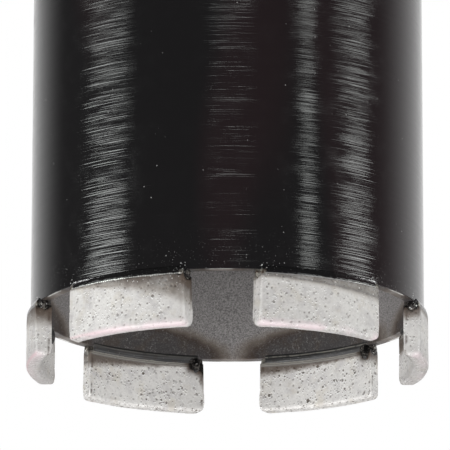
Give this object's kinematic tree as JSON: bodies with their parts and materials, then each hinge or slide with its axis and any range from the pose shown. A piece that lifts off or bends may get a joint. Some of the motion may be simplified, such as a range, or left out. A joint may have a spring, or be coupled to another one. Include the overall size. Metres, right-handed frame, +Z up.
{
  "type": "diamond core bit",
  "caption": "Thin-walled diamond core bit: a painted steel barrel with sintered cutting segments welded to its rim, and a threaded hub on a welded end plate.",
  "frame": {"origin": "on the bit's axis, in the plane of the segments' cutting faces", "axes": "+Z up along the axis, from the cutting end to the hub; -Y towards the camera of the picture"},
  "size_m": [0.072, 0.0714, 0.198],
  "materials": {
    "black_paint": "gloss black paint over circumferential grinding marks, bare heat-tinted steel inside",
    "sintered_metal": "light grey sintered metal with fine pits and glinting grit",
    "weld_steel": "rippled laser weld with dark oxide"
  },
  "bodies": {
    "root": {"barrel": "black_paint", "end_plate": "black_paint", "end_plate_weld": "black_paint", "hub": "black_paint", "hub_weld": "black_paint", "segment_1": "sintered_metal", "segment_2": "sintered_metal", "segment_3": "sintered_metal", "segment_4": "sintered_metal", "segment_5": "sintered_metal", "segment_6": "sintered_metal", "segment_weld_1": "weld_steel", "segment_weld_2": "weld_steel", "segment_weld_3": "weld_steel", "segment_weld_4": "weld_steel", "segment_weld_5": "weld_steel", "segment_weld_6": "weld_steel"}
  },
  "joints": []
}
